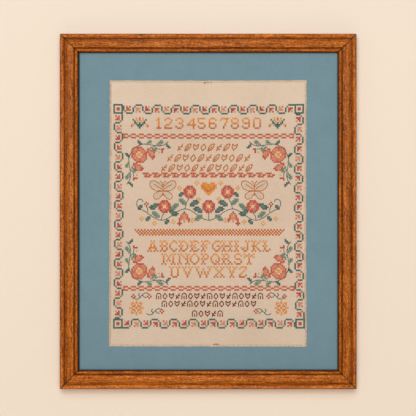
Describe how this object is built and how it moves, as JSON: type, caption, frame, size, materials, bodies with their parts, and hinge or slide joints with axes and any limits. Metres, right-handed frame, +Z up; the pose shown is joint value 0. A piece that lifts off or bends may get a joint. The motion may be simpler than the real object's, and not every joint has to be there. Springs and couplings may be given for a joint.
{
  "type": "framed cross stitch sampler",
  "caption": "Cross stitch sampler on evenweave cloth behind a window mat, in a mitred oak picture frame with a plain backing board.",
  "frame": {"origin": "middle of the top rail's back face, half way down the rail's width, where the frame bears on its wall", "axes": "+Z up along the frame's long side, +Y out of its back into the wall, the stitched front faces -Y"},
  "size_m": [0.335, 0.0152, 0.401],
  "materials": {
    "oak_moulding": "satin",
    "mat_board": "matte",
    "evenweave_cloth": "matte",
    "backing_board": "matte"
  },
  "bodies": {
    "root": {"rail_top": "oak_moulding", "rail_bottom": "oak_moulding", "rail_left": "oak_moulding", "rail_right": "oak_moulding", "window_mat": "mat_board", "stitched_cloth": "evenweave_cloth", "backing_board": "backing_board"}
  },
  "joints": []
}
